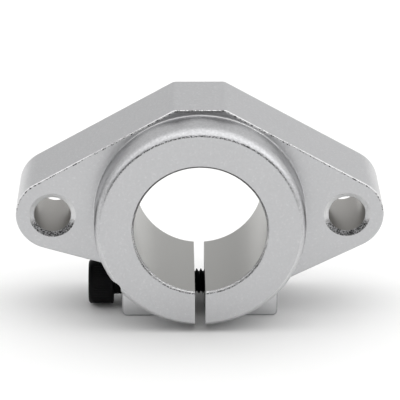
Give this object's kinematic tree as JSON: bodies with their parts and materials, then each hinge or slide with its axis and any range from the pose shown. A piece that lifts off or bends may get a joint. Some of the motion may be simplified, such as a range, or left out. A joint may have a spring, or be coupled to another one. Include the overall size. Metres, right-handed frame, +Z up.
{
  "type": "shaft support block",
  "caption": "Flange-mounted shaft support block: a split aluminium ring on a thick rhombic flange with mounting holes, clamped on a round shaft by a cross screw in the lug below.",
  "frame": {"origin": "on the bore axis, in the plane of the flat mounting face, half way between the two mounting holes", "axes": "+X across the mounting holes, away from the screw head; +Y along the bore axis, out of the mounting face; +Z up, from the lug to the flat top"},
  "size_m": [0.07, 0.025, 0.042],
  "materials": {
    "blasted_aluminium": "fine blasted and clear anodised, machined bore and holes, broken edges",
    "black_steel": "black oxide"
  },
  "bodies": {
    "block": {"support_body": "blasted_aluminium"},
    "screw": {"clamp_screw": "black_steel"}
  },
  "joints": [
    {"name": "screw_travel", "type": "slide", "parent": "block", "child": "screw", "axis": [-1, 0, 0], "range_m": [-0.0016, 0.0064]}
  ]
}
